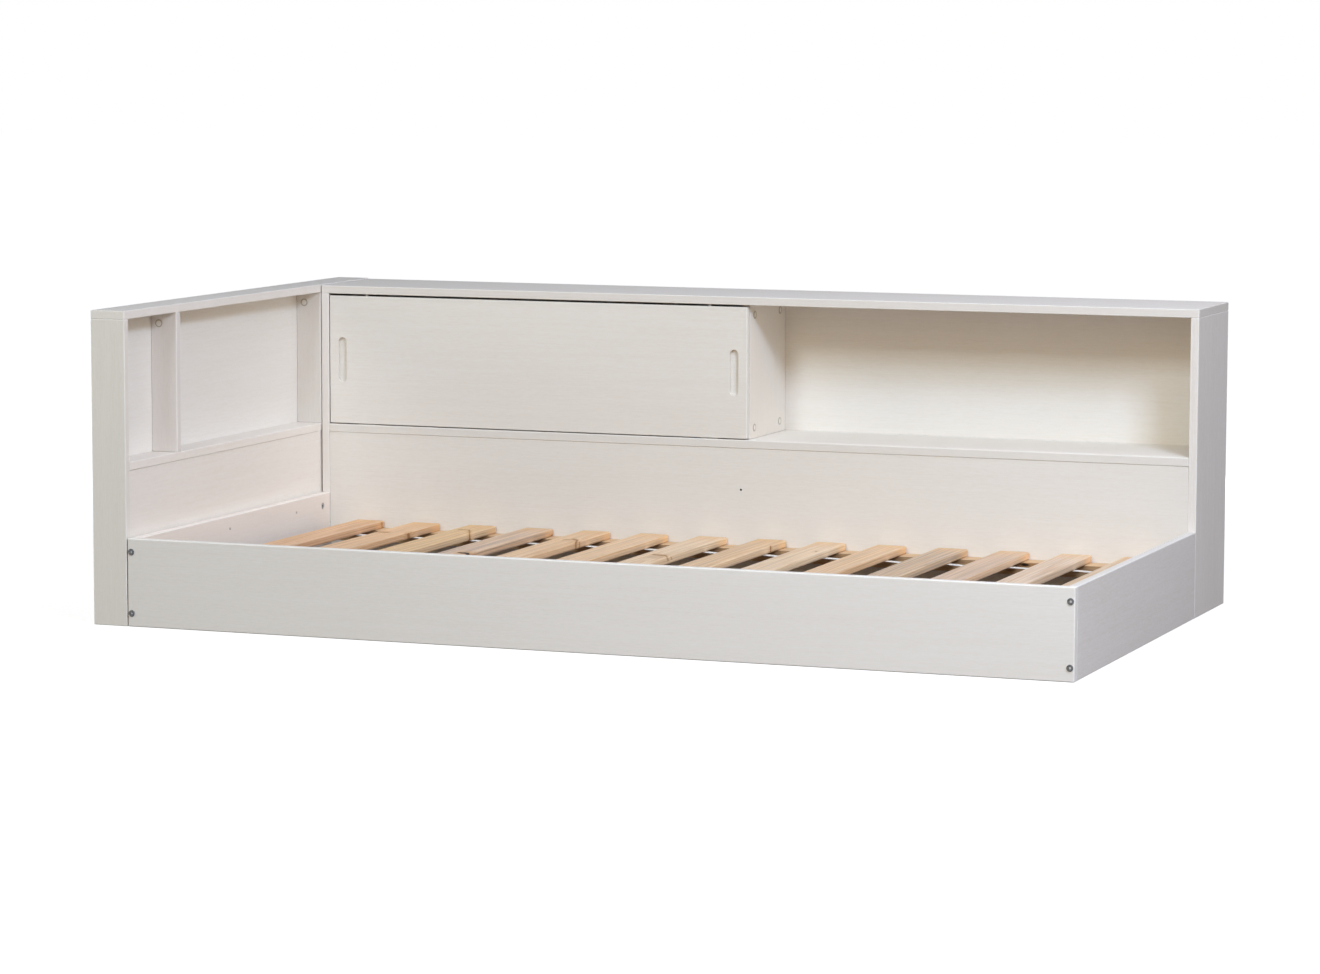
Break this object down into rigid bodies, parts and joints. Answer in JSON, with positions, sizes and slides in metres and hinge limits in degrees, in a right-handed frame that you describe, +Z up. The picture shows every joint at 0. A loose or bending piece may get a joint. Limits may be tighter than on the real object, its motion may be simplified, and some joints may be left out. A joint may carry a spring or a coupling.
{
  "type": "single bed with shelf headboard and shelf unit",
  "caption": "Low single bed of painted pine boards on a slatted base, with a shallow shelf headboard and, along its back, a shelf unit with a sliding door.",
  "frame": {"origin": "on the floor, at the middle of the footprint", "axes": "+X from the headboard to the foot rail, +Y from the front rail to the back of the shelf unit, +Z up"},
  "size_m": [2.12, 1.2072, 0.659],
  "materials": {
    "white_pine": "white paint on brushed pine, the grain showing",
    "white_sheet": "white painted thin sheet",
    "bare_pine": "planed bare pine with knots",
    "beech": "bare beech",
    "webbing": "woven white tape",
    "dark_steel": "dark satin",
    "zinc": "zinc plated",
    "cap_plastic": "satin",
    "nylon": "smooth"
  },
  "bodies": {
    "frame": {"front_rail": "white_pine", "head_rail": "white_pine", "foot_rail": "white_pine", "unit_left_panel": "white_pine", "unit_right_panel": "white_pine", "unit_top": "white_pine", "unit_shelf": "white_pine", "unit_divider": "white_pine", "unit_lower_panel": "white_pine", "head_front_end": "white_pine", "head_back_end": "white_pine", "head_top": "white_pine", "head_back_panel": "white_pine", "head_shelf": "white_pine", "head_lower_panel": "white_pine", "head_divider": "white_pine", "head_upright": "white_pine", "unit_back_panel": "white_sheet", "slat_01": "bare_pine", "slat_02": "bare_pine", "slat_03": "bare_pine", "slat_04": "bare_pine", "slat_05": "bare_pine", "slat_06": "bare_pine", "slat_07": "bare_pine", "slat_08": "bare_pine", "slat_09": "bare_pine", "slat_10": "bare_pine", "slat_11": "bare_pine", "slat_12": "bare_pine", "slat_13": "bare_pine", "slat_14": "bare_pine", "front_ledger": "bare_pine", "back_ledger": "bare_pine", "front_slat_tape": "webbing", "back_slat_tape": "webbing", "tape_staples": "zinc", "rail_bolts": "dark_steel", "barrel_nuts": "zinc", "rail_cams": "zinc", "rail_cam_pins": "zinc", "divider_cams": "zinc", "divider_caps": "cap_plastic", "divider_cam_pins": "zinc", "head_cams": "zinc", "head_caps": "cap_plastic", "head_cam_pins": "zinc", "unit_dowels": "beech", "head_dowels": "beech", "ledger_screws": "zinc", "head_screws": "dark_steel", "head_spacers": "nylon", "back_nails": "zinc"},
    "door": {"sliding_door": "white_pine", "door_left_glide": "nylon", "door_right_glide": "nylon", "door_left_guide": "nylon", "door_right_guide": "nylon"}
  },
  "joints": [
    {"name": "door_slide", "type": "slide", "parent": "frame", "child": "door", "axis": [1, 0, 0], "range_m": [0, 0.992]}
  ]
}
